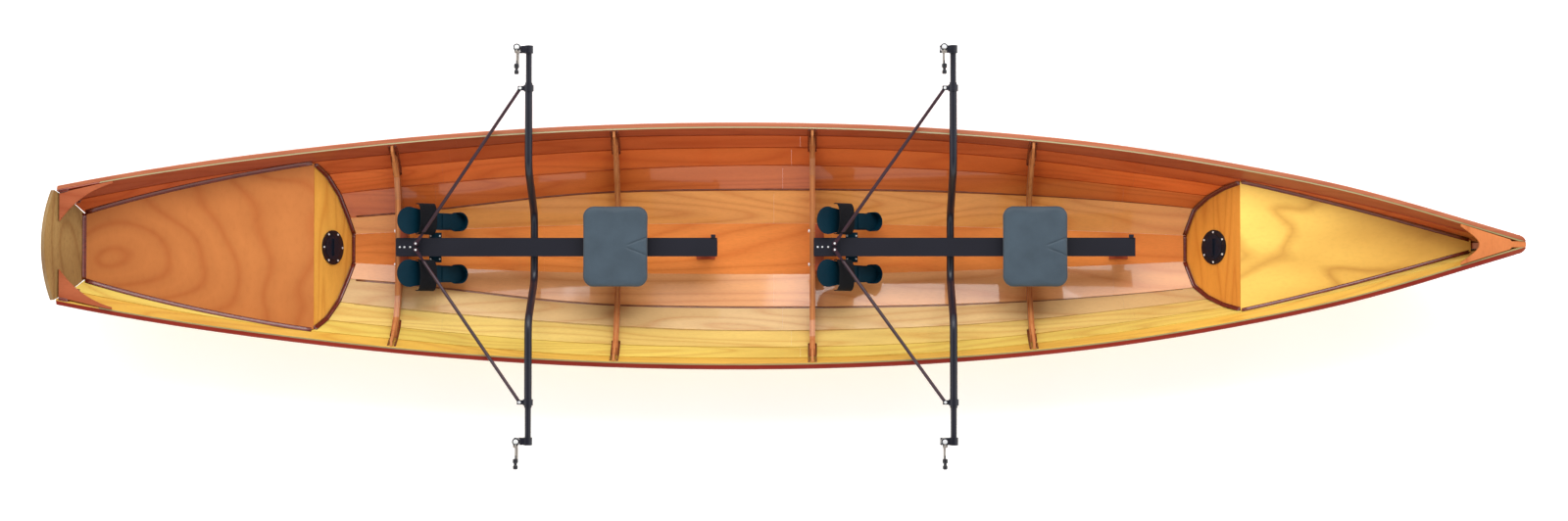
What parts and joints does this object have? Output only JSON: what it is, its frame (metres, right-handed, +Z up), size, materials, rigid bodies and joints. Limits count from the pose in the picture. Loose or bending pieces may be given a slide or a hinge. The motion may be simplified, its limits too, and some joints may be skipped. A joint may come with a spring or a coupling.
{
  "type": "tandem rowing wherry",
  "caption": "Lapstrake wooden rowing boat with raked transom, pointed bow, sealed end tanks and two drop-in sliding-seat rowing rigs with outrigged oarlocks.",
  "frame": {"origin": "underside of the flat middle of the bottom plank, halfway along the boat on its centreline", "axes": "+X to the bow, +Y to port, +Z up"},
  "size_m": [6.0123, 1.724, 0.536],
  "materials": {
    "plank_wood": "varnished okoume plywood",
    "deck_wood": "varnished plywood",
    "rail_wood": "oiled reddish hardwood",
    "frame_wood": "varnished plywood and hardwood",
    "transom_wood": "varnished plywood",
    "black_metal": "black anodised aluminium",
    "steel": "stainless steel",
    "black_plastic": "moulded black plastic",
    "foot_plastic": "dark moulded plastic",
    "strap": "black hook-and-loop webbing",
    "seat_cover": "blue-grey closed-cell foam",
    "seat_carriage_metal": "dark anodised",
    "wheel_plastic": "nylon wheels on a steel axle"
  },
  "bodies": {
    "hull": {"bottom_plank": "plank_wood", "garboards": "plank_wood", "second_strakes": "plank_wood", "third_strakes": "plank_wood", "fourth_strakes": "plank_wood", "sheer_strakes": "plank_wood", "stem": "rail_wood", "skeg": "rail_wood", "rub_rails": "rail_wood", "transom": "transom_wood", "quarter_knees": "rail_wood", "breasthook": "rail_wood", "frame_one": "frame_wood", "frame_two": "frame_wood", "frame_three": "frame_wood", "frame_four": "frame_wood", "frame_cheeks": "frame_wood", "aft_bulkhead": "deck_wood", "forward_bulkhead": "deck_wood", "aft_deck": "deck_wood", "forward_deck": "deck_wood", "hatch_rings": "black_plastic", "hatch_screws": "steel", "track_supports": "frame_wood", "track_fittings": "black_metal", "rigger_stays": "black_metal", "stay_clamps": "black_metal", "wing_extensions": "black_metal", "oarlock_brackets": "black_metal", "oarlock_pins": "steel", "rig_bolts": "steel", "foot_straps": "strap", "aft_track": "black_metal", "aft_wing_tube": "black_metal", "aft_footboards": "foot_plastic", "forward_track": "black_metal", "forward_wing_tube": "black_metal", "forward_footboards": "foot_plastic"},
    "aft_sliding_seat": {"aft_seat": "seat_cover", "aft_seat_carriage": "seat_carriage_metal"},
    "aft_stern_wheels": {"aft_stern_wheels": "wheel_plastic"},
    "aft_bow_wheels": {"aft_bow_wheels": "wheel_plastic"},
    "aft_port_heel_cup": {"aft_port_heel_cup": "foot_plastic"},
    "aft_port_oarlock": {"aft_port_oarlock": "black_plastic"},
    "aft_port_gate": {"aft_port_gate": "black_plastic"},
    "aft_starboard_heel_cup": {"aft_starboard_heel_cup": "foot_plastic"},
    "aft_starboard_oarlock": {"aft_starboard_oarlock": "black_plastic"},
    "aft_starboard_gate": {"aft_starboard_gate": "black_plastic"},
    "forward_sliding_seat": {"forward_seat": "seat_cover", "forward_seat_carriage": "seat_carriage_metal"},
    "forward_stern_wheels": {"forward_stern_wheels": "wheel_plastic"},
    "forward_bow_wheels": {"forward_bow_wheels": "wheel_plastic"},
    "forward_port_heel_cup": {"forward_port_heel_cup": "foot_plastic"},
    "forward_port_oarlock": {"forward_port_oarlock": "black_plastic"},
    "forward_port_gate": {"forward_port_gate": "black_plastic"},
    "forward_starboard_heel_cup": {"forward_starboard_heel_cup": "foot_plastic"},
    "forward_starboard_oarlock": {"forward_starboard_oarlock": "black_plastic"},
    "forward_starboard_gate": {"forward_starboard_gate": "black_plastic"},
    "aft_hatch_cover": {"aft_hatch_cover": "black_plastic"},
    "forward_hatch_cover": {"forward_hatch_cover": "black_plastic"}
  },
  "joints": [
    {"name": "aft_seat_slide", "type": "slide", "parent": "hull", "child": "aft_sliding_seat", "axis": [1, 0, 0], "range_m": [-0.45, 0.28]},
    {"name": "aft_stern_wheels_spin", "type": "hinge", "parent": "aft_sliding_seat", "child": "aft_stern_wheels", "pos_m": [-0.766, 0, 0.2131], "axis": [0, 1, 0], "continuous": true},
    {"name": "aft_bow_wheels_spin", "type": "hinge", "parent": "aft_sliding_seat", "child": "aft_bow_wheels", "pos_m": [-0.61, 0, 0.2131], "axis": [0, 1, 0], "continuous": true},
    {"name": "aft_port_heel_cup_slide", "type": "slide", "parent": "hull", "child": "aft_port_heel_cup", "axis": [-0.766, 0, 0.6428], "range_m": [-0.02, 0.03]},
    {"name": "aft_port_oarlock_turn", "type": "hinge", "parent": "hull", "child": "aft_port_oarlock", "pos_m": [-1.072, 0.798, 0.46], "axis": [0, 0, 1], "continuous": true},
    {"name": "aft_port_gate_lift", "type": "hinge", "parent": "aft_port_oarlock", "child": "aft_port_gate", "pos_m": [-1.072, 0.781, 0.525], "axis": [-1, 0, 0], "range_deg": [0, 100]},
    {"name": "aft_starboard_heel_cup_slide", "type": "slide", "parent": "hull", "child": "aft_starboard_heel_cup", "axis": [-0.766, 0, 0.6428], "range_m": [-0.02, 0.03]},
    {"name": "aft_starboard_oarlock_turn", "type": "hinge", "parent": "hull", "child": "aft_starboard_oarlock", "pos_m": [-1.072, -0.798, 0.46], "axis": [0, 0, 1], "continuous": true},
    {"name": "aft_starboard_gate_lift", "type": "hinge", "parent": "aft_starboard_oarlock", "child": "aft_starboard_gate", "pos_m": [-1.072, -0.815, 0.525], "axis": [-1, 0, 0], "range_deg": [0, 100]},
    {"name": "forward_seat_slide", "type": "slide", "parent": "hull", "child": "forward_sliding_seat", "axis": [1, 0, 0], "range_m": [-0.45, 0.28]},
    {"name": "forward_stern_wheels_spin", "type": "hinge", "parent": "forward_sliding_seat", "child": "forward_stern_wheels", "pos_m": [0.963, 0, 0.2131], "axis": [0, 1, 0], "continuous": true},
    {"name": "forward_bow_wheels_spin", "type": "hinge", "parent": "forward_sliding_seat", "child": "forward_bow_wheels", "pos_m": [1.119, 0, 0.2131], "axis": [0, 1, 0], "continuous": true},
    {"name": "forward_port_heel_cup_slide", "type": "slide", "parent": "hull", "child": "forward_port_heel_cup", "axis": [-0.766, 0, 0.6428], "range_m": [-0.02, 0.03]},
    {"name": "forward_port_oarlock_turn", "type": "hinge", "parent": "hull", "child": "forward_port_oarlock", "pos_m": [0.657, 0.798, 0.46], "axis": [0, 0, 1], "continuous": true},
    {"name": "forward_port_gate_lift", "type": "hinge", "parent": "forward_port_oarlock", "child": "forward_port_gate", "pos_m": [0.657, 0.781, 0.525], "axis": [-1, 0, 0], "range_deg": [0, 100]},
    {"name": "forward_starboard_heel_cup_slide", "type": "slide", "parent": "hull", "child": "forward_starboard_heel_cup", "axis": [-0.766, 0, 0.6428], "range_m": [-0.02, 0.03]},
    {"name": "forward_starboard_oarlock_turn", "type": "hinge", "parent": "hull", "child": "forward_starboard_oarlock", "pos_m": [0.657, -0.798, 0.46], "axis": [0, 0, 1], "continuous": true},
    {"name": "forward_starboard_gate_lift", "type": "hinge", "parent": "forward_starboard_oarlock", "child": "forward_starboard_gate", "pos_m": [0.657, -0.815, 0.525], "axis": [-1, 0, 0], "range_deg": [0, 100]},
    {"name": "aft_hatch_cover_lift", "type": "slide", "parent": "hull", "child": "aft_hatch_cover", "axis": [0.8802, 0, 0.4746], "range_m": [0, 0.06]},
    {"name": "forward_hatch_cover_lift", "type": "slide", "parent": "hull", "child": "forward_hatch_cover", "axis": [-0.8105, 0, 0.5857], "range_m": [0, 0.06]}
  ],
  "couplings": [
    {"joint": "aft_stern_wheels_spin", "follows": "aft_seat_slide", "rad_per_m": 76.923},
    {"joint": "aft_bow_wheels_spin", "follows": "aft_seat_slide", "rad_per_m": 76.923},
    {"joint": "forward_stern_wheels_spin", "follows": "forward_seat_slide", "rad_per_m": 76.923},
    {"joint": "forward_bow_wheels_spin", "follows": "forward_seat_slide", "rad_per_m": 76.923}
  ]
}
